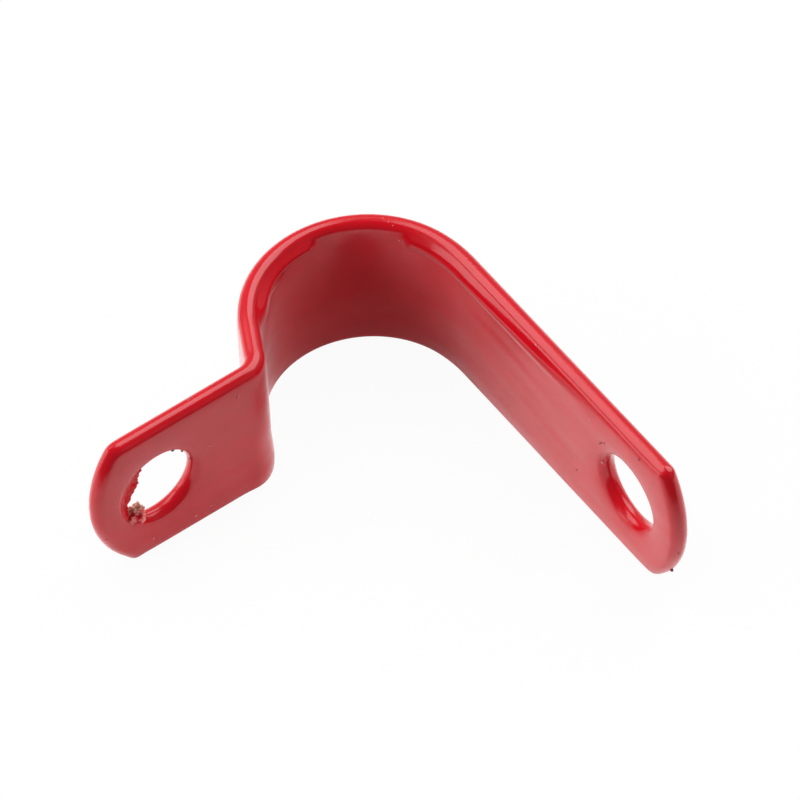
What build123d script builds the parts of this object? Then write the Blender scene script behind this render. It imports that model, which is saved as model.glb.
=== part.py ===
"""Cable clip: one narrow metal strip with a dipped coating, bent as an open P.

A short tab with a screw hole turns through a tight neck and a short riser into an open loop, which
runs out over a wide shoulder into a long straight leg with a second hole. The cable lies in the loop.
The leg is closed round the cable by hand until one screw passes through both holes.

Frame: millimetres, +Z up along the cable axis, with the origin on that axis at the middle of the
strip's width. The clip stands on the strip's lower long edge, and +X runs from the tab to the leg.
"""

import os

from build123d import *

# Strip section, coating included
strip_width = 10.0
strip_thickness = 1.05
edge_radius = 0.45  # round that the coating gives to every outer edge

# Bends, measured on the inside of each one
loop_inner_radius = 6.05
loop_angle = 140.0
shoulder_inner_radius = 8.55
shoulder_angle = 14.0
neck_inner_radius = 1.05
neck_angle = 61.6

# Straight runs
tab_length = 10.7
riser_length = 2.3  # between the neck and the loop
leg_length = 20.65
tab_heading = 34.6  # direction from the tab's tip to the neck, counted from +X

# Rounded tips: how far each corner stands back from the middle of its tip
tab_top_setback = 1.95
tab_bottom_setback = 2.35
leg_top_setback = 1.65
leg_bottom_setback = 2.35
corner_radius = 0.8
trim_allowance = 1.0  # length of square strip that is cut away beyond each tip

# Screw holes, one in each end
hole_diameter = 4.8
tab_hole_inset = 4.4  # from the middle of the tip to the hole's centre
leg_hole_inset = 4.6
hole_rim_radius = 0.35  # round that the coating gives to the holes' edges

# Largest share of the thickness that one rounded edge may take, so that a flat stays between two
edge_share = 0.45

half_width = strip_width / 2
outer_edge_round = min(edge_radius, edge_share * strip_thickness)
hole_edge_round = min(hole_rim_radius, edge_share * strip_thickness)
loop_start_angle = tab_heading + neck_angle + 90
trim_reach = 2 * trim_allowance


def plan_side(offset):
    """Draws one side of the strip in plan and returns its tab run and its leg run.

    The side lies `offset` away from the face that the cable touches.
    """
    loop = CenterArc((0, 0), loop_inner_radius + offset, loop_start_angle, -loop_angle)
    riser = Line(loop @ 0, loop @ 0 - riser_length * (loop % 0))
    neck = JernArc(riser @ 1, riser % 1, neck_inner_radius + strip_thickness - offset, -neck_angle)
    tab = Line(neck @ 1, neck @ 1 + (tab_length + trim_allowance) * (neck % 1))
    shoulder = JernArc(loop @ 1, loop % 1, shoulder_inner_radius + offset, -shoulder_angle)
    leg = Line(shoulder @ 1, shoulder @ 1 + (leg_length + trim_allowance) * (shoulder % 1))
    return tab, leg


def tip_plane(inner_run, outer_run):
    """Gives the plane of one flat end: origin mid-tip, x in along the strip, y up across its width."""
    inward = -(inner_run % 1)
    return Plane(
        origin=(inner_run @ 1 + outer_run @ 1) / 2 + trim_allowance * inward,
        x_dir=inward,
        z_dir=inward.cross(Vector(0, 0, 1)),
    )


with BuildPart() as clip_strip:
    # Bent strip with square ends, each longer than its tip by the trim allowance
    with BuildSketch():
        with BuildLine():
            inner_tab, inner_leg = plan_side(0)
            outer_tab, outer_leg = plan_side(strip_thickness)
            Line(inner_tab @ 1, outer_tab @ 1)
            Line(inner_leg @ 1, outer_leg @ 1)
        make_face()
    extrude(amount=half_width, both=True)

    # Round tips with softened corners
    tab_plane = tip_plane(inner_tab, outer_tab)
    leg_plane = tip_plane(inner_leg, outer_leg)
    for plane, top_setback, bottom_setback in (
        (tab_plane, tab_top_setback, tab_bottom_setback),
        (leg_plane, leg_top_setback, leg_bottom_setback),
    ):
        with BuildSketch(plane):
            with BuildLine():
                tip = ThreePointArc((top_setback, half_width), (0, 0), (bottom_setback, -half_width))
                Polyline(tip @ 1, (-trim_reach, -half_width), (-trim_reach, half_width), tip @ 0)
            make_face()
        extrude(amount=strip_thickness, both=True, mode=Mode.SUBTRACT)
    # The shortest lines cross the strip's thickness at the corners
    fillet(clip_strip.edges().filter_by(GeomType.LINE).group_by(SortBy.LENGTH)[0], radius=corner_radius)

    # Coating drawn round over the outer edges
    lines = clip_strip.edges().filter_by(GeomType.LINE)
    lines_through_strip = lines.group_by(SortBy.LENGTH)[0]
    lines_over_width = lines.filter_by(Axis.Z)
    fillet(clip_strip.edges() - lines_through_strip - lines_over_width, radius=outer_edge_round)

    # Screw holes with rounded edges
    for plane, inset in ((tab_plane, tab_hole_inset), (leg_plane, leg_hole_inset)):
        with Locations(plane.offset(strip_thickness / 2)):
            with Locations((inset, 0)):
                Hole(hole_diameter / 2, depth=strip_thickness)
        hole_edges = clip_strip.edges(Select.LAST).filter_by(GeomType.CIRCLE)
        fillet(hole_edges, radius=hole_edge_round)

clip_strip.part.label = "clip_strip"

os.makedirs("parts", exist_ok=True)
export_step(clip_strip.part, "parts/clip_strip.step")
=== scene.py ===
"""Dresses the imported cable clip: one bent metal strip under a thick, glossy red coating.

The strip is modelled as it is made. It is laid out flat, with a rounded end and a screw hole at each
tip, drawn round at every edge by its coating, and then bent along its path from the tab over the
neck, the loop and the shoulder to the leg. Flat positions are (along, across, out): along the strip
from the tab's tip, across its width from the middle, and out of its middle towards the back face.

Frame: metres, +Z up along the cable axis, with the origin on that axis at the middle of the width.
"""

import logging
import math
from dataclasses import dataclass, field
from enum import Enum

import bpy
import numpy as np
from mathutils import Matrix, Vector, noise


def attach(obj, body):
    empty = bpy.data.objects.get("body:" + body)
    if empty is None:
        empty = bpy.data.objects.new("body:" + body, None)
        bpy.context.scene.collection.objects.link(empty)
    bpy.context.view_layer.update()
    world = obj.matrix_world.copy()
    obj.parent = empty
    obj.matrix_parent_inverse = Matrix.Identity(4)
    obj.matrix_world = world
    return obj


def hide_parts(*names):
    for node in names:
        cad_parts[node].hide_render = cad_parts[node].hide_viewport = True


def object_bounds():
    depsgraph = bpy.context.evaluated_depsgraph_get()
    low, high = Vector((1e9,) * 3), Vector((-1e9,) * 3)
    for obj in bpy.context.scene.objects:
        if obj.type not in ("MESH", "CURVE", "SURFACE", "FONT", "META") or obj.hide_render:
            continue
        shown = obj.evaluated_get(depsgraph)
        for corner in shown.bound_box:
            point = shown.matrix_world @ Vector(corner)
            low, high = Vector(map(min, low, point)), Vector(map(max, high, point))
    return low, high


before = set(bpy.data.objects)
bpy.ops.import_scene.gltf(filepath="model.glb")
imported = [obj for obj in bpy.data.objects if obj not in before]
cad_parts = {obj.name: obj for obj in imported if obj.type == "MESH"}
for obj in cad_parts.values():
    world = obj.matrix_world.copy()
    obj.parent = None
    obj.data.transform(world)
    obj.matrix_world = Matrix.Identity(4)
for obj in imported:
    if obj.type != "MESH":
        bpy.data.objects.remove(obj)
CAD_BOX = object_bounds()

MM = 0.001
BODY = "root"
STRIP_NODE = "clip_strip"
FLAT_MAP = "flat_place"

Tree = bpy.types.NodeTree
Socket = bpy.types.NodeSocket
Span = tuple[float, float]
Triple = tuple[float, float, float]
Colour = tuple[float, float, float, float]
FaceSpot = tuple[float, float, float]  # along, across, radius
EdgeSpot = tuple[float, float, float, float]  # along, across, out, radius

ORIGIN: Triple = (0.0, 0.0, 0.0)
WHITE: Colour = (1.0, 1.0, 1.0, 1.0)
UNIT = 1.0
EIGHTHS = 8
LUMP_FALLOFF = 1.0
LUMP_SPREAD = 2.0

log = logging.getLogger("clip")


class Fleck(Enum):
    """The kinds of small flaw on the coating."""

    DARK_CRUMB = "dark_crumbs"
    PALE_NICK = "pale_nicks"


# Mesh helpers


def start_fresh() -> None:
    """Leaves edit mode and deselects every object."""
    if bpy.context.object is not None and bpy.context.object.mode != "OBJECT":
        bpy.ops.object.mode_set(mode="OBJECT")
    bpy.ops.object.select_all(action="DESELECT")


def apply_modifier(obj: bpy.types.Object, kind: str, **settings: object) -> None:
    """Adds one modifier to an object and applies it.

    Args:
        obj: The object that the modifier shapes.
        kind: Blender's name for the modifier type.
        settings: Values for the modifier's properties.
    """
    bpy.context.view_layer.objects.active = obj
    modifier = obj.modifiers.new(kind.lower(), kind)
    for name, value in settings.items():
        setattr(modifier, name, value)
    bpy.ops.object.modifier_apply(modifier=modifier.name)


def read_points(obj: bpy.types.Object) -> np.ndarray:
    """Gives an object's vertices as rows of three numbers."""
    points = np.empty(len(obj.data.vertices) * 3)
    obj.data.vertices.foreach_get("co", points)
    return points.reshape(-1, 3)


def write_points(obj: bpy.types.Object, points: np.ndarray) -> None:
    """Moves an object's vertices to rows of three numbers."""
    obj.data.vertices.foreach_set("co", points.ravel())
    obj.data.update()


def unit_grid(rows: int, columns: int) -> tuple[bpy.types.Object, np.ndarray]:
    """Adds a flat grid of unit size.

    Args:
        rows: Number of its cells along x.
        columns: Number of its cells along y.

    Returns:
        The grid, and the shares from 0 to 1 that each vertex has gone along x and y.
    """
    start_fresh()
    bpy.ops.mesh.primitive_grid_add(x_subdivisions=rows, y_subdivisions=columns, size=UNIT, location=ORIGIN)
    grid = bpy.context.object
    return grid, read_points(grid)[:, :2] + UNIT / 2


def close_mesh(obj: bpy.types.Object, gap: float) -> None:
    """Merges an object's doubled vertices and points its faces outwards.

    Args:
        obj: The object to close.
        gap: Largest distance between two vertices that are one.
    """
    bpy.context.view_layer.objects.active = obj
    bpy.ops.object.mode_set(mode="EDIT")
    bpy.ops.mesh.select_all(action="SELECT")
    bpy.ops.mesh.remove_doubles(threshold=gap)
    bpy.ops.mesh.normals_make_consistent(inside=False)
    bpy.ops.object.mode_set(mode="OBJECT")


def seat_piece(obj: bpy.types.Object, name: str) -> bpy.types.Object:
    """Names a finished piece, lets it ride on the clip and reports it.

    Args:
        obj: The finished piece.
        name: The piece's name.

    Returns:
        The same piece.
    """
    obj.name = name
    obj.data.name = name
    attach(obj, BODY)
    log.info("%s: %d faces", name, len(obj.data.polygons))
    return obj


# Path and flat form of the strip


@dataclass(frozen=True)
class StripPath:
    """Line that the middle of the strip follows in plan, from the tab's tip to the leg's tip."""

    thickness: float = 1.05 * MM
    loop_inner_radius: float = 6.05 * MM
    shoulder_inner_radius: float = 8.55 * MM
    neck_inner_radius: float = 1.05 * MM
    tab_length: float = 10.7 * MM
    riser_length: float = 2.3 * MM
    leg_length: float = 20.65 * MM
    tab_heading: float = math.radians(34.6)
    neck_angle: float = math.radians(61.6)
    loop_angle: float = math.radians(140.0)
    shoulder_angle: float = math.radians(14.0)

    @property
    def runs(self) -> list[tuple[float, float]]:
        """Length and curvature of each run, with turns to the left counted as positive."""
        half = self.thickness / 2
        bends = (
            (self.neck_inner_radius + half, self.neck_angle, 1.0),
            (self.loop_inner_radius + half, self.loop_angle, -1.0),
            (self.shoulder_inner_radius + half, self.shoulder_angle, -1.0),
        )
        neck, loop, shoulder = ((radius * angle, side / radius) for radius, angle, side in bends)
        straights = (self.tab_length, self.riser_length, self.leg_length)
        tab, riser, leg = ((length, 0.0) for length in straights)
        return [tab, neck, riser, loop, shoulder, leg]

    @property
    def loop_start(self) -> float:
        """Distance from the tab's tip to the start of the loop."""
        tab, neck, riser, *_ = (length for length, _ in self.runs)
        return tab + neck + riser

    @property
    def length(self) -> float:
        """Length of the whole path."""
        return sum(length for length, _ in self.runs)

    def follow(self, along: np.ndarray) -> tuple[np.ndarray, np.ndarray]:
        """Walks the path, with its start at the origin.

        Args:
            along: Distances from the tab's tip.

        Returns:
            The plan positions at those distances, and the headings there.
        """
        place = np.zeros((len(along), 2))
        heading = np.full(len(along), self.tab_heading)
        start = np.zeros(2)
        start_heading = self.tab_heading
        begin = 0.0
        last = len(self.runs) - 1
        for index, (length, curvature) in enumerate(self.runs):
            end = begin + length
            here = (along >= begin) if index else np.full(len(along), True)
            if index < last:
                here &= along < end
            step = along[here] - begin
            place[here] = start + self.run_offset(step, start_heading, curvature)
            heading[here] = start_heading + curvature * step
            start = start + self.run_offset(np.array([length]), start_heading, curvature)[0]
            start_heading += curvature * length
            begin = end
        return place, heading

    @staticmethod
    def run_offset(step: np.ndarray, heading: float, curvature: float) -> np.ndarray:
        """Gives the way covered on one run.

        Args:
            step: Distances from the start of the run.
            heading: Heading at the start of the run.
            curvature: Curvature of the run.

        Returns:
            The plan offsets from the start of the run.
        """
        if curvature == 0.0:
            return np.stack((step * math.cos(heading), step * math.sin(heading)), axis=1)
        turned = heading + curvature * step
        across = (np.sin(turned) - math.sin(heading)) / curvature
        up = (math.cos(heading) - np.cos(turned)) / curvature
        return np.stack((across, up), axis=1)

    def bend(self, flat: np.ndarray) -> np.ndarray:
        """Bends flat positions to the clip's form, with the loop's axis at the origin.

        Args:
            flat: Rows of (along, across, out).

        Returns:
            Rows of (x, y, z) in the frame.
        """
        place, heading = self.follow(flat[:, 0])
        left = np.stack((-np.sin(heading), np.cos(heading)), axis=1)
        start_place, start_heading = self.follow(np.array([self.loop_start]))
        radius = self.loop_inner_radius + self.thickness / 2
        start_left = np.array([-math.sin(start_heading[0]), math.cos(start_heading[0])])
        loop_centre = start_place[0] - radius * start_left
        plan = place - loop_centre + left * flat[:, 2:3]
        return np.column_stack((plan, flat[:, 1]))


@dataclass(frozen=True)
class FlatEnd:
    """One flat end of the strip in its own plane: x in from the mid-tip, y up across the width."""

    hole_inset: float
    top_setback: float
    bottom_setback: float
    top_spur: float
    bottom_spur: float
    tip_draw: float
    hole_radius: float
    hole_lift: float
    half_width: float = 5.0 * MM

    @property
    def reach(self) -> float:
        """Distance from the tip to the line where the end meets the rest of the strip."""
        return self.hole_inset + self.half_width

    @property
    def tip_circle(self) -> tuple[np.ndarray, float]:
        """Centre and radius of the arc through both corners and the mid-tip."""
        corners = self.corners
        squares = (corners**2).sum(axis=1) / 2
        centre = np.linalg.solve(corners, squares)
        return centre, float(np.linalg.norm(centre))

    @property
    def corners(self) -> np.ndarray:
        """The tip's upper and lower corner."""
        return np.array(((self.top_setback, self.half_width), (self.bottom_setback, -self.half_width)))

    def outline_point(self, angle: float) -> np.ndarray:
        """Finds where a ray from the hole's centre leaves the end.

        Args:
            angle: Direction of the ray, counted from inwards along the strip.

        Returns:
            The point on the tip's arc, on a long side or on the joining line.
        """
        ray = np.array((math.cos(angle), math.sin(angle)))
        hole = np.array((self.hole_inset, 0.0))
        reaches = [self.half_width / max(np.abs(ray))] if ray[0] > 0 else []
        if ray[0] <= 0:
            centre, radius = self.tip_circle
            away = hole - centre
            half_b = away @ ray
            reaches.append(-half_b + math.sqrt(half_b**2 - away @ away + radius**2))
            if ray[1] != 0:
                reaches.append(self.half_width / abs(ray[1]))
        return hole + min(reaches) * ray

    def depth(self, x: np.ndarray, y: np.ndarray) -> np.ndarray:
        """Gives how far points lie inside the tip's arc, as if the arc ran on into two straight sides."""
        centre, radius = self.tip_circle
        return radius - np.hypot(np.minimum(x - centre[0], 0.0), y - centre[1])

    def hole_gap(self, x: np.ndarray, y: np.ndarray) -> np.ndarray:
        """Gives how far points lie outside the hole."""
        return np.hypot(x - self.hole_inset, y - self.hole_lift) - self.hole_radius


def soft_step(value: np.ndarray, begin: float, end: float) -> np.ndarray:
    """Rises smoothly from none at one value to all at another.

    Args:
        value: The values to look at.
        begin: Value up to which there is none.
        end: Value from which there is all; it may lie below the first.

    Returns:
        The shares from 0 to 1.
    """
    share = np.clip((value - begin) / (end - begin), 0.0, 1.0)
    return share * share * (3.0 - 2.0 * share)


@dataclass(frozen=True)
class Swelling:
    """A place where the coating ran thick on the cable's side, as a bead or a sag along one edge."""

    start: float
    end: float
    start_ramp: float
    end_ramp: float
    height: float
    top: float
    crest: float
    foot: float

    def thickness(self, flat: np.ndarray) -> np.ndarray:
        """Gives the swelling's thickness at flat positions.

        Args:
            flat: Rows of (along, across, out).

        Returns:
            The thickness that is added at each position.
        """
        begun = soft_step(flat[:, 0], self.start, self.start + self.start_ramp)
        lasting = soft_step(flat[:, 0], self.end, self.end - self.end_ramp)
        below_top = soft_step(flat[:, 1], self.top, self.crest)
        above_foot = soft_step(flat[:, 1], self.foot, (self.foot + self.crest) / 2)
        return self.height * begun * lasting * below_top * above_foot


LEFT_BEAD = Swelling(
    start=14.0 * MM,
    end=20.4 * MM,
    start_ramp=3.2 * MM,
    end_ramp=4.6 * MM,
    height=0.44 * MM,
    top=4.75 * MM,
    crest=4.15 * MM,
    foot=3.0 * MM,
)
CREST_BEAD = Swelling(
    start=16.2 * MM,
    end=22.75 * MM,
    start_ramp=4.5 * MM,
    end_ramp=0.7 * MM,
    height=0.26 * MM,
    top=4.75 * MM,
    crest=4.3 * MM,
    foot=4.0 * MM,
)
LEG_BEAD = Swelling(
    start=28.6 * MM,
    end=47.0 * MM,
    start_ramp=0.35 * MM,
    end_ramp=14.0 * MM,
    height=0.17 * MM,
    top=4.72 * MM,
    crest=4.2 * MM,
    foot=3.5 * MM,
)
NECK_SAG = Swelling(
    start=9.8 * MM,
    end=13.6 * MM,
    start_ramp=1.7 * MM,
    end_ramp=1.7 * MM,
    height=0.12 * MM,
    top=-1.6 * MM,
    crest=-4.2 * MM,
    foot=-7.0 * MM,
)


@dataclass
class CoatedStrip:
    """The clip itself: the whole strip with its coating, bent to its form."""

    path: StripPath = field(default_factory=StripPath)
    tab_end: FlatEnd = FlatEnd(
        hole_inset=4.3 * MM,
        top_setback=1.6 * MM,
        bottom_setback=2.35 * MM,
        top_spur=0.02 * MM,
        bottom_spur=0.1 * MM,
        tip_draw=0.08 * MM,
        hole_radius=2.32 * MM,
        hole_lift=0.12 * MM,
    )
    leg_end: FlatEnd = FlatEnd(
        hole_inset=4.6 * MM,
        top_setback=1.2 * MM,
        bottom_setback=2.35 * MM,
        top_spur=0.08 * MM,
        bottom_spur=0.0,
        tip_draw=0.12 * MM,
        hole_radius=2.24 * MM,
        hole_lift=0.15 * MM,
    )
    swellings: tuple[Swelling, ...] = (LEFT_BEAD, CREST_BEAD, LEG_BEAD, NECK_SAG)
    half_width: float = 5.0 * MM
    thickness: float = 1.06 * MM
    edge_round: float = 0.525 * MM
    edge_steps: int = 5
    sharp_angle: float = math.radians(60.0)
    smoothing: int = 2
    hole_sides: int = 64
    end_rings: int = 2
    tab_steps: int = 2
    neck_steps: int = 5
    riser_steps: int = 3
    loop_steps: int = 17
    shoulder_steps: int = 2
    leg_steps: int = 12
    crown: float = 0.12 * MM
    crown_reach: float = 1.7 * MM
    ripple: float = 0.012 * MM
    ripple_length: float = 4.0 * MM
    merge_gap: float = 0.01 * MM
    fine_gap: float = 0.001 * MM

    def flat_ends(self, flat: np.ndarray) -> list[tuple[FlatEnd, np.ndarray]]:
        """Pairs each end with the distance of flat positions from its own tip."""
        along = flat[:, 0]
        return [(self.tab_end, along), (self.leg_end, self.path.length - along)]

    def cut_end(self, end: FlatEnd, from_leg: bool) -> bpy.types.Object:
        """Cuts one flat end: a ring of faces from the hole's edge out to the end's outline.

        Args:
            end: The end to cut.
            from_leg: Whether the end lies at the leg's tip.

        Returns:
            The flat end as an object of single faces.
        """
        start_fresh()
        bpy.ops.mesh.primitive_circle_add(
            vertices=self.hole_sides,
            radius=end.hole_radius,
            fill_type="NOTHING",
            location=ORIGIN,
        )
        obj = bpy.context.object
        bpy.ops.object.mode_set(mode="EDIT")
        bpy.ops.mesh.select_all(action="SELECT")
        bpy.ops.mesh.extrude_region_move()
        bpy.ops.object.mode_set(mode="OBJECT")
        outer = np.array([vertex.select for vertex in obj.data.vertices])
        points = read_points(obj)
        angles = np.arctan2(points[:, 1], points[:, 0])
        placed = points + (end.hole_inset, end.hole_lift, 0.0)
        for index in np.flatnonzero(outer):
            placed[index, :2] = end.outline_point(angles[index])
        for corner, spur in zip(end.corners, (end.top_spur, end.bottom_spur)):
            distance = np.hypot(*(placed[:, :2] - corner).T)
            nearest = min(np.flatnonzero(outer), key=lambda index: distance[index])
            away = corner - (end.hole_inset, 0.0)
            placed[nearest, :2] = corner + spur * away / np.linalg.norm(away)
        placed[:, 0] -= end.tip_draw * np.clip(1.0 - placed[:, 0] / end.hole_inset, 0.0, 1.0)
        if from_leg:
            placed[:, 0] = self.path.length - placed[:, 0]
        write_points(obj, placed)
        bpy.ops.object.mode_set(mode="EDIT")
        bpy.ops.mesh.select_all(action="DESELECT")
        bpy.ops.mesh.select_mode(type="EDGE")
        bpy.ops.object.mode_set(mode="OBJECT")
        for edge in obj.data.edges:
            first, second = edge.vertices
            edge.select = bool(outer[first] != outer[second])
        bpy.ops.object.mode_set(mode="EDIT")
        bpy.ops.mesh.subdivide(number_cuts=self.end_rings)
        bpy.ops.object.mode_set(mode="OBJECT")
        return obj

    def cut_middle(self) -> bpy.types.Object:
        """Cuts the strip between both ends as one grid, with rows placed to suit the bends.

        Returns:
            The flat middle as an object of single faces.
        """
        tab, neck, riser, loop, shoulder, _ = (length for length, _ in self.path.runs)
        stops = np.cumsum((self.tab_end.reach, tab - self.tab_end.reach, neck, riser, loop, shoulder))
        stops = np.append(stops, self.path.length - self.leg_end.reach)
        counts = (
            self.tab_steps,
            self.neck_steps,
            self.riser_steps,
            self.loop_steps,
            self.shoulder_steps,
            self.leg_steps,
        )
        spans = [
            np.linspace(begin, end, count, endpoint=False)
            for begin, end, count in zip(stops[:-1], stops[1:], counts)
        ]
        rows = np.append(np.concatenate(spans), stops[-1])
        # Seen from the hole, the joining line spans an eighth of a turn to each side
        side_steps = self.hole_sides // EIGHTHS
        fan = np.arange(-side_steps, side_steps + 1) * (math.tau / self.hole_sides)
        columns = self.half_width * np.tan(fan)
        cells = np.array((len(rows) - 1, len(columns) - 1))
        obj, shares = unit_grid(*cells.tolist())
        row, column = np.rint(shares * cells).astype(int).T
        write_points(obj, np.column_stack((rows[row], columns[column], np.zeros(len(shares)))))
        return obj

    def edge_gaps(self, flat: np.ndarray) -> list[np.ndarray]:
        """Lists how far flat positions lie from the long sides, from both tips and from both holes."""
        gaps = [self.half_width - np.abs(flat[:, 1])]
        for end, inset in self.flat_ends(flat):
            gaps.append(end.depth(inset + end.tip_draw, flat[:, 1]))
            gaps.append(end.hole_gap(inset, flat[:, 1]))
        return gaps

    def crown_share(self, flat: np.ndarray) -> np.ndarray:
        """Gives the share of the coating's crown at flat positions: none at an edge, all inside."""
        share = np.ones(len(flat))
        for gap in self.edge_gaps(flat):
            share *= 1.0 - (1.0 - np.clip(gap / self.crown_reach, 0.0, 1.0)) ** 2
        return share

    def settle_coating(self, flat: np.ndarray) -> np.ndarray:
        """Lets the coating crown away from every edge and ripple a little.

        Args:
            flat: Rows of (along, across, out).

        Returns:
            The same rows with the coating's thickness set.
        """
        settled = flat.copy()
        half = self.thickness / 2
        share = self.crown_share(flat)
        settled[:, 2] *= 1.0 + share * self.crown / half
        waves = np.array([noise.noise(Vector(point) / self.ripple_length) for point in flat])
        settled[:, 2] += share * self.ripple * waves * np.sign(flat[:, 2])
        cable_side = soft_step(-flat[:, 2], 0.0, half)
        for swelling in self.swellings:
            settled[:, 2] -= cable_side * swelling.thickness(flat)
        return settled

    def build(self) -> bpy.types.Object:
        """Builds the coated strip.

        Returns:
            The finished piece, bent to its form.
        """
        blanks = [self.cut_end(self.tab_end, False), self.cut_middle(), self.cut_end(self.leg_end, True)]
        start_fresh()
        for blank in blanks:
            blank.select_set(True)
        strip = blanks[0]
        bpy.context.view_layer.objects.active = strip
        bpy.ops.object.join()
        close_mesh(strip, self.merge_gap)
        apply_modifier(strip, "SOLIDIFY", thickness=self.thickness, offset=0.0)
        apply_modifier(
            strip,
            "BEVEL",
            width=self.edge_round,
            segments=self.edge_steps,
            limit_method="ANGLE",
            angle_limit=self.sharp_angle,
            use_clamp_overlap=False,
        )
        apply_modifier(strip, "SUBSURF", levels=self.smoothing, render_levels=self.smoothing)
        flat = read_points(strip)
        self.map_flat(strip, flat)
        write_points(strip, self.path.bend(self.settle_coating(flat)))
        close_mesh(strip, self.fine_gap)
        bpy.ops.object.shade_smooth()
        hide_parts(STRIP_NODE)
        return seat_piece(strip, "coated_strip")

    def cable_face(self, along: float, across: float) -> np.ndarray:
        """Finds the coating's surface on the cable's side, round edges included.

        Args:
            along: Distance from the tab's tip.
            across: Distance from the middle of the width.

        Returns:
            The surface's flat position there.
        """
        start = np.array([[along, across, -self.thickness / 2]])
        gap = np.clip(np.min(self.edge_gaps(start)), 0.0, self.edge_round)
        drop = self.edge_round - math.sqrt(self.edge_round**2 - (self.edge_round - gap) ** 2)
        return self.settle_coating(start)[0] + (0.0, 0.0, drop)

    def map_flat(self, strip: bpy.types.Object, flat: np.ndarray) -> None:
        """Keeps the flat positions on the strip, so that its finish follows its length.

        Args:
            strip: The strip before it is bent.
            flat: Its vertices as rows of (along, across, out).
        """
        kept = strip.data.attributes.new(FLAT_MAP, "FLOAT_VECTOR", "POINT")
        kept.data.foreach_set("vector", flat.ravel())


# Torn coating and small flaws


@dataclass(frozen=True)
class RoughForm:
    """How a ball of torn or dirty matter is roughened, with its lumps as shares of its radius."""

    fineness: int
    lump: float
    lump_length: float
    octaves: int = 4


def rough_ball(radius: float, form: RoughForm) -> bpy.types.Object:
    """Models one rough ball at the origin.

    Args:
        radius: Radius before the ball is roughened.
        form: How the ball is roughened.

    Returns:
        The ball.
    """
    start_fresh()
    bpy.ops.mesh.primitive_ico_sphere_add(subdivisions=form.fineness, radius=radius, location=ORIGIN)
    ball = bpy.context.object
    points = read_points(ball)
    lump_size = radius * form.lump_length
    spots = [Vector(point) / lump_size for point in points]
    swell = [noise.fractal(spot, LUMP_FALLOFF, LUMP_SPREAD, form.octaves) for spot in spots]
    write_points(ball, points * (1.0 + form.lump * np.array(swell))[:, None])
    bpy.ops.object.shade_smooth()
    return ball


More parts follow.
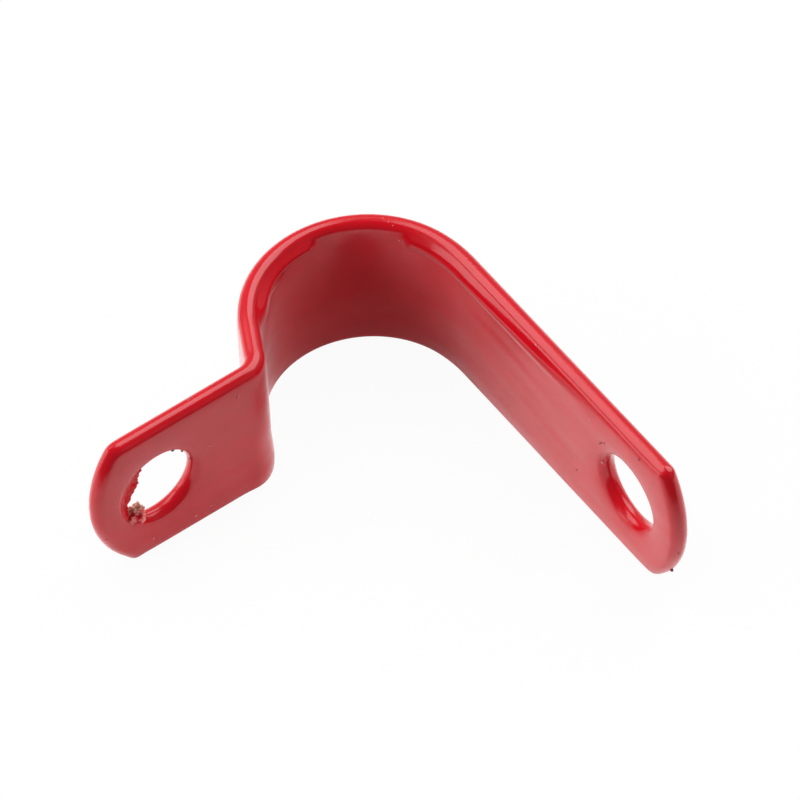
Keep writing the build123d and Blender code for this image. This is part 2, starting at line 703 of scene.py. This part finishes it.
@dataclass
class TornCoating:
    """Coating that tore at the tab's hole: a ragged skin in the hole and a frayed lump below it."""

    strip: CoatedStrip
    skin_begin: float = math.radians(116.0)
    skin_end: float = math.radians(206.0)
    skin_steps: int = 40
    skin_rings: int = 14
    skin_reach: float = 1.05 * MM
    skin_fullness: float = 0.7
    skin_taper: float = 0.5
    skin_root: float = 0.42 * MM
    skin_lift: float = 0.05 * MM
    root_share: float = 0.2
    skin_curl: float = 0.1 * MM
    skin_thickness: float = 0.1 * MM
    skin_smoothing: int = 1
    rag: float = 0.45
    rag_length: float = 0.22
    rag_octaves: int = 3
    crinkle: float = 0.12 * MM
    crinkle_length: float = 0.35 * MM
    lump_place: Triple = (2.72 * MM, -1.38 * MM, -0.32 * MM)
    lump_form: Triple = (1.15, 0.8, 0.85)
    lump_radius: float = 0.52 * MM
    lump_roughness: RoughForm = RoughForm(fineness=5, lump=0.42, lump_length=0.55)
    fray_place: Triple = (2.72 * MM, -0.92 * MM, -0.2 * MM)
    fray_form: Triple = (1.25, 0.7, 0.9)
    fray_radius: float = 0.27 * MM
    fray_roughness: RoughForm = RoughForm(fineness=5, lump=0.9, lump_length=0.3)

    def skin(self) -> bpy.types.Object:
        """Draws the ragged skin inwards from the wall of the tab's hole.

        Returns:
            The finished skin.
        """
        skin, shares = unit_grid(self.skin_steps, self.skin_rings)
        turn, inward = shares.T
        angle = self.skin_begin + turn * (self.skin_end - self.skin_begin)
        swell = np.sin(np.pi * turn) ** self.skin_fullness * (1.0 - self.skin_taper * turn)
        spots = [Vector((value / self.rag_length, 0.0, 0.0)) for value in angle]
        ragged = [noise.fractal(spot, LUMP_FALLOFF, LUMP_SPREAD, self.rag_octaves) for spot in spots]
        reach = self.skin_reach * swell * (1.0 + self.rag * np.array(ragged))
        end = self.strip.tab_end
        gap = self.skin_root - inward * (self.skin_root + reach)
        radius = end.hole_radius + gap
        rooted = 2.0 * soft_step(inward, 0.0, self.root_share) - 1.0
        edge_round = self.strip.edge_round
        rim = np.sqrt(edge_round**2 - (edge_round - np.clip(gap, 0.0, edge_round)) ** 2)
        flat = np.column_stack((
            end.hole_inset + radius * np.cos(angle),
            end.hole_lift + radius * np.sin(angle),
            -rim - self.skin_lift * rooted - self.skin_curl * inward**2,
        ))
        crinkles = [noise.noise(Vector(point) / self.crinkle_length) for point in flat]
        flat[:, 2] += self.crinkle * inward * np.array(crinkles)
        write_points(skin, flat)
        apply_modifier(skin, "SOLIDIFY", thickness=self.skin_thickness, offset=0.0)
        apply_modifier(skin, "SUBSURF", levels=self.skin_smoothing, render_levels=self.skin_smoothing)
        return self.bend_on(skin, "torn_skin")

    def bend_on(self, piece: bpy.types.Object, name: str) -> bpy.types.Object:
        """Bends a flat piece onto the clip and seats it.

        Args:
            piece: The piece in flat positions.
            name: The piece's name.

        Returns:
            The finished piece.
        """
        write_points(piece, self.strip.path.bend(read_points(piece)))
        close_mesh(piece, self.strip.fine_gap)
        bpy.ops.object.shade_smooth()
        return seat_piece(piece, name)

    def lump(self) -> bpy.types.Object:
        """Sets the torn lump on the hole's lower edge."""
        ball = rough_ball(self.lump_radius, self.lump_roughness)
        write_points(ball, read_points(ball) * self.lump_form + self.lump_place)
        return self.bend_on(ball, "torn_lump")

    def fray(self) -> bpy.types.Object:
        """Sets the frayed fibres on top of the lump."""
        ball = rough_ball(self.fray_radius, self.fray_roughness)
        write_points(ball, read_points(ball) * self.fray_form + self.fray_place)
        return self.bend_on(ball, "frayed_top")


@dataclass
class Flecks:
    """Small flaws in the coating: dark crumbs that stuck to it and pale nicks."""

    strip: CoatedStrip
    roughness: RoughForm = RoughForm(fineness=3, lump=0.5, lump_length=0.8)
    merge_gap: float = 0.0001 * MM
    nick_form: Triple = (1.4, 0.8, 0.5)
    crumb_form: Triple = (1.1, 0.9, 0.8)
    face_crumbs: tuple[FaceSpot, ...] = (
        (46.85 * MM, 2.5 * MM, 0.055 * MM),
        (47.15 * MM, 2.75 * MM, 0.05 * MM),
        (46.7 * MM, 2.3 * MM, 0.04 * MM),
        (50.45 * MM, 4.45 * MM, 0.05 * MM),
        (44.41 * MM, -2.16 * MM, 0.05 * MM),
        (48.66 * MM, 2.42 * MM, 0.07 * MM),
        (53.58 * MM, -0.9 * MM, 0.04 * MM),
        (5.37 * MM, 2.44 * MM, 0.08 * MM),
        (6.1 * MM, 1.7 * MM, 0.08 * MM),
        (6.62 * MM, 0.6 * MM, 0.06 * MM),
    )
    edge_crumbs: tuple[EdgeSpot, ...] = (
        (52.68 * MM, -3.34 * MM, -0.05 * MM, 0.1 * MM),
    )
    face_nicks: tuple[FaceSpot, ...] = (
        (46.62 * MM, 0.47 * MM, 0.09 * MM),
        (46.8 * MM, 0.7 * MM, 0.05 * MM),
        (44.34 * MM, -1.09 * MM, 0.05 * MM),
        (45.83 * MM, 3.51 * MM, 0.06 * MM),
        (40.4 * MM, 4.74 * MM, 0.06 * MM),
        (34.04 * MM, -4.34 * MM, 0.06 * MM),
        (28.19 * MM, 4.0 * MM, 0.05 * MM),
        (27.72 * MM, 4.87 * MM, 0.035 * MM),
        (27.42 * MM, 4.95 * MM, 0.04 * MM),
        (22.77 * MM, -4.32 * MM, 0.05 * MM),
        (9.84 * MM, 3.92 * MM, 0.08 * MM),
        (7.67 * MM, 1.29 * MM, 0.05 * MM),
        (7.48 * MM, -3.81 * MM, 0.05 * MM),
        (6.42 * MM, -3.9 * MM, 0.07 * MM),
        (3.51 * MM, -3.67 * MM, 0.07 * MM),
        (0.5 * MM, -1.8 * MM, 0.06 * MM),
    )
    edge_nicks: tuple[EdgeSpot, ...] = (
        (27.06 * MM, 4.98 * MM, 0.0, 0.045 * MM),
        (8.75 * MM, 4.96 * MM, 0.15 * MM, 0.07 * MM),
        (7.3 * MM, 4.95 * MM, 0.18 * MM, 0.07 * MM),
        (7.1 * MM, 4.97 * MM, 0.1 * MM, 0.08 * MM),
        (0.47 * MM, 2.64 * MM, 0.06 * MM, 0.06 * MM),
    )

    def places(self, kind: Fleck) -> list[tuple[np.ndarray, float]]:
        """Lists the flat position and the radius of every fleck of one kind."""
        on_face = self.face_crumbs if kind is Fleck.DARK_CRUMB else self.face_nicks
        on_edge = self.edge_crumbs if kind is Fleck.DARK_CRUMB else self.edge_nicks
        listed = [(self.strip.cable_face(along, across), radius) for along, across, radius in on_face]
        return listed + [(np.array(place), radius) for *place, radius in on_edge]

    def build(self, kind: Fleck) -> bpy.types.Object:
        """Builds all flecks of one kind as one piece.

        Args:
            kind: The kind of fleck.

        Returns:
            The finished piece.
        """
        model = rough_ball(UNIT, self.roughness)
        form = self.crumb_form if kind is Fleck.DARK_CRUMB else self.nick_form
        shape = read_points(model) * form
        copies = []
        for index, (place, radius) in enumerate(self.places(kind)):
            copy = model.copy()
            copy.data = model.data.copy()
            bpy.context.collection.objects.link(copy)
            turn = np.array(Matrix.Rotation(float(index), 3, "Z"))
            flat = shape @ turn.T * radius + place
            write_points(copy, self.strip.path.bend(flat))
            copies.append(copy)
        bpy.data.objects.remove(model)
        start_fresh()
        for copy in copies:
            copy.select_set(True)
        bpy.context.view_layer.objects.active = copies[0]
        bpy.ops.object.join()
        close_mesh(copies[0], self.merge_gap)
        return seat_piece(copies[0], kind.value)


# Finishes


def add_noise(tree: Tree, place: Socket, scale: float, detail: float) -> Socket:
    """Adds a noise to a node tree.

    Args:
        tree: The node tree.
        place: Socket that gives the position.
        scale: Number of waves in a unit of length.
        detail: Number of finer layers.

    Returns:
        The socket with the noise.
    """
    grain = tree.nodes.new("ShaderNodeTexNoise")
    grain.inputs["Scale"].default_value = scale
    grain.inputs["Detail"].default_value = detail
    tree.links.new(place, grain.inputs["Vector"])
    return grain.outputs["Fac"]


def add_range(
    tree: Tree, value: Socket, edges: Span, levels: Span = (0.0, 1.0), soft: bool = False
) -> Socket:
    """Adds a change from one level to another to a node tree.

    Args:
        tree: The node tree.
        value: Socket that gives the value to look at.
        edges: The values at which the change begins and ends.
        levels: The levels before and after it.
        soft: Whether the change starts and stops gently.

    Returns:
        The socket with the level.
    """
    change = tree.nodes.new("ShaderNodeMapRange")
    change.interpolation_type = "SMOOTHSTEP" if soft else "LINEAR"
    change.inputs["From Min"].default_value, change.inputs["From Max"].default_value = edges
    change.inputs["To Min"].default_value, change.inputs["To Max"].default_value = levels
    tree.links.new(value, change.inputs["Value"])
    return change.outputs[0]


def add_tones(tree: Tree, value: Socket, edges: Span, tones: tuple[Colour, Colour]) -> Socket:
    """Adds a blend of two tones to a node tree.

    Args:
        tree: The node tree.
        value: Socket that gives the value to look at.
        edges: The values at which the blend begins and ends.
        tones: The tones before and after it.

    Returns:
        The socket with the tone.
    """
    blend = tree.nodes.new("ShaderNodeValToRGB")
    for element, edge, tone in zip(blend.color_ramp.elements, edges, tones):
        element.position = edge
        element.color = tone
    tree.links.new(value, blend.inputs[0])
    return blend.outputs["Color"]


def add_relief(tree: Tree, height: Socket, depth: float, strength: float = 1.0) -> bpy.types.ShaderNode:
    """Adds a fine relief to a node tree.

    Args:
        tree: The node tree.
        height: Socket that gives the height as a share.
        depth: Depth of the relief.
        strength: Share of the relief that shows.

    Returns:
        The relief's node.
    """
    relief = tree.nodes.new("ShaderNodeBump")
    relief.inputs["Strength"].default_value = strength
    relief.inputs["Distance"].default_value = depth
    tree.links.new(height, relief.inputs["Height"])
    return relief


@dataclass(frozen=True)
class RedCoating:
    """Thick glossy plastic coating in deep red, with flow streaks along the strip and a faint mottle."""

    base: Colour = (0.56, 0.002, 0.0105, 1.0)
    deep: Colour = (0.52, 0.002, 0.009, 1.0)
    ior: float = 1.5
    polished: float = 0.13
    dull: float = 0.22
    streaks: Triple = (110.0, 520.0, 0.0)
    streak_detail: float = 1.0
    streak_edges: Span = (0.3, 0.7)
    streak_depth: float = 0.07 * MM
    mottle_scale: float = 700.0
    mottle_detail: float = 4.0
    mottle_edges: Span = (0.3, 0.62)
    peel_scale: float = 2600.0
    peel_detail: float = 2.0
    peel_depth: float = 0.012 * MM
    peel_strength: float = 0.12
    sheen: float = 0.4
    sheen_roughness: float = 0.28

    def material(self) -> bpy.types.Material:
        """Makes the coating's material.

        Returns:
            The material.
        """
        made = bpy.data.materials.new("red_coating")
        made.use_nodes = True
        tree = made.node_tree
        links = tree.links
        shader = tree.nodes["Principled BSDF"]
        shader.inputs["IOR"].default_value = self.ior
        shader.inputs["Sheen Weight"].default_value = self.sheen
        shader.inputs["Sheen Roughness"].default_value = self.sheen_roughness
        flat = tree.nodes.new("ShaderNodeAttribute")
        flat.attribute_name = FLAT_MAP
        stretch = tree.nodes.new("ShaderNodeMapping")
        stretch.inputs["Scale"].default_value = self.streaks
        links.new(flat.outputs["Vector"], stretch.inputs["Vector"])
        streak = add_noise(tree, stretch.outputs[0], UNIT, self.streak_detail)
        gloss = add_range(tree, streak, self.streak_edges, (self.polished, self.dull))
        links.new(gloss, shader.inputs["Roughness"])
        place = tree.nodes.new("ShaderNodeTexCoord").outputs["Object"]
        mottle = add_noise(tree, place, self.mottle_scale, self.mottle_detail)
        tone = add_tones(tree, mottle, self.mottle_edges, (self.deep, self.base))
        links.new(tone, shader.inputs["Base Color"])
        peel = add_noise(tree, place, self.peel_scale, self.peel_detail)
        peeled = add_relief(tree, peel, self.peel_depth, self.peel_strength)
        flow = add_relief(tree, streak, self.streak_depth)
        links.new(peeled.outputs[0], flow.inputs["Normal"])
        links.new(flow.outputs[0], shader.inputs["Normal"])
        return made


@dataclass(frozen=True)
class RoughFinish:
    """Torn, crumbling or dirty matter in two mixed tones, with a rough grain."""

    name: str
    first: Colour
    second: Colour
    roughness: float
    grain_scale: float
    grain_detail: float = 5.0
    grain_edges: Span = (0.42, 0.58)
    grain_depth: float = 0.05 * MM
    shine: float = 0.18

    def material(self) -> bpy.types.Material:
        """Makes the finish's material.

        Returns:
            The material.
        """
        made = bpy.data.materials.new(self.name)
        made.use_nodes = True
        tree = made.node_tree
        shader = tree.nodes["Principled BSDF"]
        shader.inputs["Roughness"].default_value = self.roughness
        shader.inputs["Specular IOR Level"].default_value = self.shine
        place = tree.nodes.new("ShaderNodeTexCoord").outputs["Object"]
        grain = add_noise(tree, place, self.grain_scale, self.grain_detail)
        tone = add_tones(tree, grain, self.grain_edges, (self.first, self.second))
        tree.links.new(tone, shader.inputs["Base Color"])
        relief = add_relief(tree, grain, self.grain_depth)
        tree.links.new(relief.outputs[0], shader.inputs["Normal"])
        return made


TORN_SKIN = RoughFinish("torn_skin", (0.55, 0.002, 0.008, 1.0), (0.72, 0.016, 0.026, 1.0), 0.3, 2500.0)
TORN_RED = RoughFinish("torn_red", (0.62, 0.02, 0.035, 1.0), (0.85, 0.28, 0.26, 1.0), 0.4, 3200.0)
FRAYED_BROWN = RoughFinish("frayed_brown", (0.46, 0.14, 0.09, 1.0), (0.78, 0.46, 0.37, 1.0), 0.55, 6000.0)
CRUMB_DARK = RoughFinish("crumb_dark", (0.18, 0.03, 0.03, 1.0), (0.34, 0.15, 0.13, 1.0), 0.6, 6000.0)
NICK_PALE = RoughFinish("nick_pale", (0.62, 0.09, 0.1, 1.0), (0.8, 0.3, 0.29, 1.0), 0.4, 5000.0)


@dataclass(frozen=True)
class PaperFloor:
    """White card under the clip. To all but camera rays it has painted light and shade: a painted lit area
    that goes dark towards the front, painted shade in an oval inside the loop, painted light that it sends
    out all over, and a brighter painted spot at the loop's left.
    """

    colour: Colour = (0.75, 0.75, 0.75, 1.0)
    # Painted shade: the dark tone the card takes away from its painted lit area, towards the front.
    unlit: Colour = (0.05, 0.05, 0.05, 1.0)
    sheen: float = 0.1
    sheen_roughness: float = 0.35
    own_white: float = 0.95
    # Painted light: the card is painted lit near the clip and fades to the unlit tone towards the front.
    unlit_edge: float = -50.0 * MM
    lit_edge: float = -18.0 * MM
    # Painted light: the card sends out light of its own, though it is no lamp.
    painted_glow: float = 0.34
    # Painted shade: an oval inside the loop is darkened to the share left below.
    shade_centre: Triple = (0.3 * MM, -0.9 * MM, 0.0)
    shade_squeeze: Triple = (1.3, 0.58, 0.0)
    shade_inner: float = 1.2 * MM
    shade_outer: float = 4.2 * MM
    shade_left: float = 0.25
    # Painted light: a brighter spot that the card sends out by the loop's left wall.
    painted_spot_centre: Triple = (-5.6 * MM, 0.5 * MM, 0.0)
    painted_spot_inner: float = 0.5 * MM
    painted_spot_outer: float = 3.2 * MM
    painted_spot_strength: float = 1.0

    @staticmethod
    def distance(tree: Tree, place: Socket, centre: Triple) -> Socket:
        """Adds the distance from a centre to a node tree.

        Args:
            tree: The node tree.
            place: Socket that gives the position.
            centre: The centre.

        Returns:
            The socket with the distance.
        """
        off_centre = tree.nodes.new("ShaderNodeVectorMath")
        off_centre.operation = "DISTANCE"
        off_centre.inputs[1].default_value = centre
        tree.links.new(place, off_centre.inputs[0])
        return off_centre.outputs["Value"]

    def painted_light_tone(self, tree: Tree, place: Socket) -> Socket:
        """Adds the card's tone with painted light and shade: a painted lit area that goes dark towards its
        front edge, and painted shade that darkens an oval inside the loop.

        Args:
            tree: The node tree.
            place: Socket that gives the position on the card.

        Returns:
            The socket with the tone.
        """
        links = tree.links
        split = tree.nodes.new("ShaderNodeSeparateXYZ")
        links.new(place, split.inputs[0])
        # Painted light: full tone near the clip, dark towards the front edge.
        painted_lit_patch = add_range(tree, split.outputs["Y"], (self.unlit_edge, self.lit_edge), soft=True)
        # Painted shade: darker in a squeezed oval inside the loop.
        oval = tree.nodes.new("ShaderNodeVectorMath")
        oval.operation = "MULTIPLY"
        oval.inputs[1].default_value = self.shade_squeeze
        links.new(place, oval.inputs[0])
        inside = self.distance(tree, oval.outputs["Vector"], self.shade_centre)
        shade_edges = (self.shade_inner, self.shade_outer)
        shade = add_range(tree, inside, shade_edges, (self.shade_left, 1.0), soft=True)
        painted_lit_share = tree.nodes.new("ShaderNodeMath")
        painted_lit_share.operation = "MULTIPLY"
        links.new(painted_lit_patch, painted_lit_share.inputs[0])
        links.new(shade, painted_lit_share.inputs[1])
        # The card's own colour, darkened by the painted light and shade.
        tone = tree.nodes.new("ShaderNodeMix")
        tone.data_type = "RGBA"
        tone.inputs["A"].default_value = self.unlit
        tone.inputs["B"].default_value = self.colour
        links.new(painted_lit_share.outputs[0], tone.inputs["Factor"])
        return tone.outputs["Result"]

    def card_with_painted_light(self, tree: Tree) -> Socket:
        """Adds the card as it lights the clip and shows in its gloss: a faint gloss, the painted light and
        shade of its tone, painted light that it sends out all over, and a brighter painted spot by the
        loop's left wall.

        Args:
            tree: The node tree.

        Returns:
            The socket with the card's surface.
        """
        links = tree.links
        place = tree.nodes.new("ShaderNodeTexCoord").outputs["Object"]
        # The card's tone with its painted light and shade.
        tone = self.painted_light_tone(tree, place)
        matt = tree.nodes.new("ShaderNodeBsdfDiffuse")
        links.new(tone, matt.inputs["Color"])
        shine = tree.nodes.new("ShaderNodeBsdfGlossy")
        shine.inputs["Color"].default_value = WHITE
        shine.inputs["Roughness"].default_value = self.sheen_roughness
        glossy = tree.nodes.new("ShaderNodeMixShader")
        glossy.inputs[0].default_value = self.sheen
        links.new(matt.outputs[0], glossy.inputs[1])
        links.new(shine.outputs[0], glossy.inputs[2])
        # Painted light: the card sends out light in its own tone, stronger in a spot by the loop's left
        # wall.
        away = self.distance(tree, place, self.painted_spot_centre)
        painted_spot_edges = (self.painted_spot_inner, self.painted_spot_outer)
        painted_spot = add_range(tree, away, painted_spot_edges, (self.painted_spot_strength, self.painted_glow), soft=True)
        painted_glow = tree.nodes.new("ShaderNodeEmission")
        links.new(painted_spot, painted_glow.inputs["Strength"])
        links.new(tone, painted_glow.inputs["Color"])
        surface = tree.nodes.new("ShaderNodeAddShader")
        links.new(glossy.outputs[0], surface.inputs[0])
        links.new(painted_glow.outputs[0], surface.inputs[1])
        return surface.outputs[0]

    def seen_card(self, tree: Tree) -> Socket:
        """Adds the card as the camera sees it: nearly pure white, with a faint shadow.

        Args:
            tree: The node tree.

        Returns:
            The socket with the card's surface.
        """
        paper = tree.nodes.new("ShaderNodeBsdfDiffuse")
        paper.inputs["Color"].default_value = self.colour
        white = tree.nodes.new("ShaderNodeEmission")
        white.inputs["Color"].default_value = WHITE
        seen = tree.nodes.new("ShaderNodeMixShader")
        seen.inputs[0].default_value = self.own_white
        tree.links.new(paper.outputs[0], seen.inputs[1])
        tree.links.new(white.outputs[0], seen.inputs[2])
        return seen.outputs[0]

    def material(self) -> bpy.types.Material:
        """Makes the card's material.

        Returns:
            The material.
        """
        made = bpy.data.materials.new("white_card")
        made.use_nodes = True
        tree = made.node_tree
        tree.nodes.clear()
        rays = tree.nodes.new("ShaderNodeLightPath")
        choice = tree.nodes.new("ShaderNodeMixShader")
        tree.links.new(rays.outputs["Is Camera Ray"], choice.inputs[0])
        # The clip sees the card with its painted light and shade; the camera sees it nearly white.
        tree.links.new(self.card_with_painted_light(tree), choice.inputs[1])
        tree.links.new(self.seen_card(tree), choice.inputs[2])
        output = tree.nodes.new("ShaderNodeOutputMaterial")
        tree.links.new(choice.outputs[0], output.inputs["Surface"])
        return made


# Studio


@dataclass(frozen=True)
class SoftBox:
    """One large soft lamp that faces the clip."""

    name: str
    direction: Triple
    width: float
    depth: float
    radiance: float
    mirrored: bool = True
    distance: float = 0.6

    def build(self) -> bpy.types.Object:
        """Hangs the lamp.

        Returns:
            The lamp's object.
        """
        lamp = bpy.data.lights.new(self.name, "AREA")
        lamp.shape = "RECTANGLE"
        lamp.size = self.width
        lamp.size_y = self.depth
        lamp.energy = math.pi * self.width * self.depth * self.radiance
        obj = bpy.data.objects.new(self.name, lamp)
        bpy.context.collection.objects.link(obj)
        obj.visible_glossy = self.mirrored
        back = Vector(self.direction).normalized()
        side = Vector((0.0, 1.0, 0.0)).cross(back).normalized()
        up = back.cross(side)
        turn = Matrix((side, up, back)).transposed().to_4x4()
        obj.matrix_world = Matrix.Translation(back * self.distance) @ turn
        return obj


@dataclass(frozen=True)
class PhotoCamera:
    """Camera that stands where the photograph was taken from."""

    elevation: float = math.radians(49.207)
    roll: float = math.radians(-3.018)
    distance: float = 446.8 * MM
    target: Triple = (1.738 * MM, -2.955 * MM, 0.0)
    lens: float = 356.0
    sensor: float = 36.0

    def build(self) -> bpy.types.Object:
        """Places the camera and makes it the scene's own.

        Returns:
            The camera's object.
        """
        camera = bpy.data.cameras.new("photo_camera")
        camera.lens = self.lens
        camera.sensor_width = self.sensor
        obj = bpy.data.objects.new("photo_camera", camera)
        bpy.context.collection.objects.link(obj)
        back = Vector((0.0, -math.cos(self.elevation), math.sin(self.elevation)))
        up = Vector((0.0, math.sin(self.elevation), math.cos(self.elevation)))
        right = Vector((1.0, 0.0, 0.0))
        turned_right = right * math.cos(self.roll) + up * math.sin(self.roll)
        turned_up = up * math.cos(self.roll) - right * math.sin(self.roll)
        turn = Matrix((turned_right, turned_up, back)).transposed().to_4x4()
        obj.matrix_world = Matrix.Translation(Vector(self.target) + back * self.distance) @ turn
        bpy.context.scene.camera = obj
        return obj


@dataclass
class Studio:
    """Floor, lamps and surroundings."""

    floor_half: float = 0.16
    dim: float = 0.12
    bright: float = 0.4
    dim_edge: float = -0.3
    bright_edge: float = 0.6
    lamps: tuple[SoftBox, ...] = (
        SoftBox("right_lamp", (0.445, 0.41, 0.8), width=0.54, depth=0.49, radiance=3.2),
        SoftBox("left_lamp", (-0.55, 0.3, 0.78), width=0.6, depth=0.4, radiance=2.78),
        SoftBox("left_panel", (-1.0, 0.06, 0.17), width=0.2, depth=0.5, radiance=2.4),
        SoftBox("left_fill", (-0.8, -0.3, 0.45), width=0.3, depth=0.3, radiance=4.8, mirrored=False),
        SoftBox("right_fill", (0.8, -0.45, 0.4), width=0.3, depth=0.3, radiance=2.4, mirrored=False),
    )

    def lay_floor(self) -> None:
        """Lays the white card under the clip."""
        start_fresh()
        bpy.ops.mesh.primitive_plane_add(size=2 * self.floor_half, location=(0.0, 0.0, CAD_BOX[0][2]))
        floor = bpy.context.object
        floor.name = "floor_card"
        floor.data.materials.append(PaperFloor().material())

    def surround(self) -> None:
        """Gives the world its brightness: bright behind the clip, dim in front, white to the camera."""
        world = bpy.data.worlds.new("studio")
        world.use_nodes = True
        bpy.context.scene.world = world
        tree = world.node_tree
        nodes = tree.nodes
        nodes.clear()
        place = nodes.new("ShaderNodeTexCoord")
        split = nodes.new("ShaderNodeSeparateXYZ")
        tree.links.new(place.outputs["Generated"], split.inputs[0])
        edges = (self.dim_edge, self.bright_edge)
        level = add_range(tree, split.outputs["Y"], edges, (self.dim, self.bright))
        room = nodes.new("ShaderNodeBackground")
        room.inputs["Color"].default_value = WHITE
        tree.links.new(level, room.inputs["Strength"])
        white = nodes.new("ShaderNodeBackground")
        white.inputs["Color"].default_value = WHITE
        rays = nodes.new("ShaderNodeLightPath")
        mix = nodes.new("ShaderNodeMixShader")
        tree.links.new(rays.outputs["Is Camera Ray"], mix.inputs[0])
        tree.links.new(room.outputs[0], mix.inputs[1])
        tree.links.new(white.outputs[0], mix.inputs[2])
        output = nodes.new("ShaderNodeOutputWorld")
        tree.links.new(mix.outputs[0], output.inputs["Surface"])

    def build(self) -> None:
        """Sets up the whole studio."""
        self.lay_floor()
        self.surround()
        for lamp in self.lamps:
            lamp.build()
        PhotoCamera().build()
        bpy.context.scene.view_settings.view_transform = "Standard"


def main() -> None:
    """Builds the studio and the dressed clip."""
    logging.basicConfig(level=logging.INFO, format="%(name)s: %(message)s")
    Studio().build()
    coating = RedCoating().material()
    strip = CoatedStrip()
    strip.build().data.materials.append(coating)
    torn = TornCoating(strip)
    torn.skin().data.materials.append(TORN_SKIN.material())
    torn.lump().data.materials.append(TORN_RED.material())
    torn.fray().data.materials.append(FRAYED_BROWN.material())
    flecks = Flecks(strip)
    flecks.build(Fleck.DARK_CRUMB).data.materials.append(CRUMB_DARK.material())
    flecks.build(Fleck.PALE_NICK).data.materials.append(NICK_PALE.material())


if __name__ == "__main__":
    main()
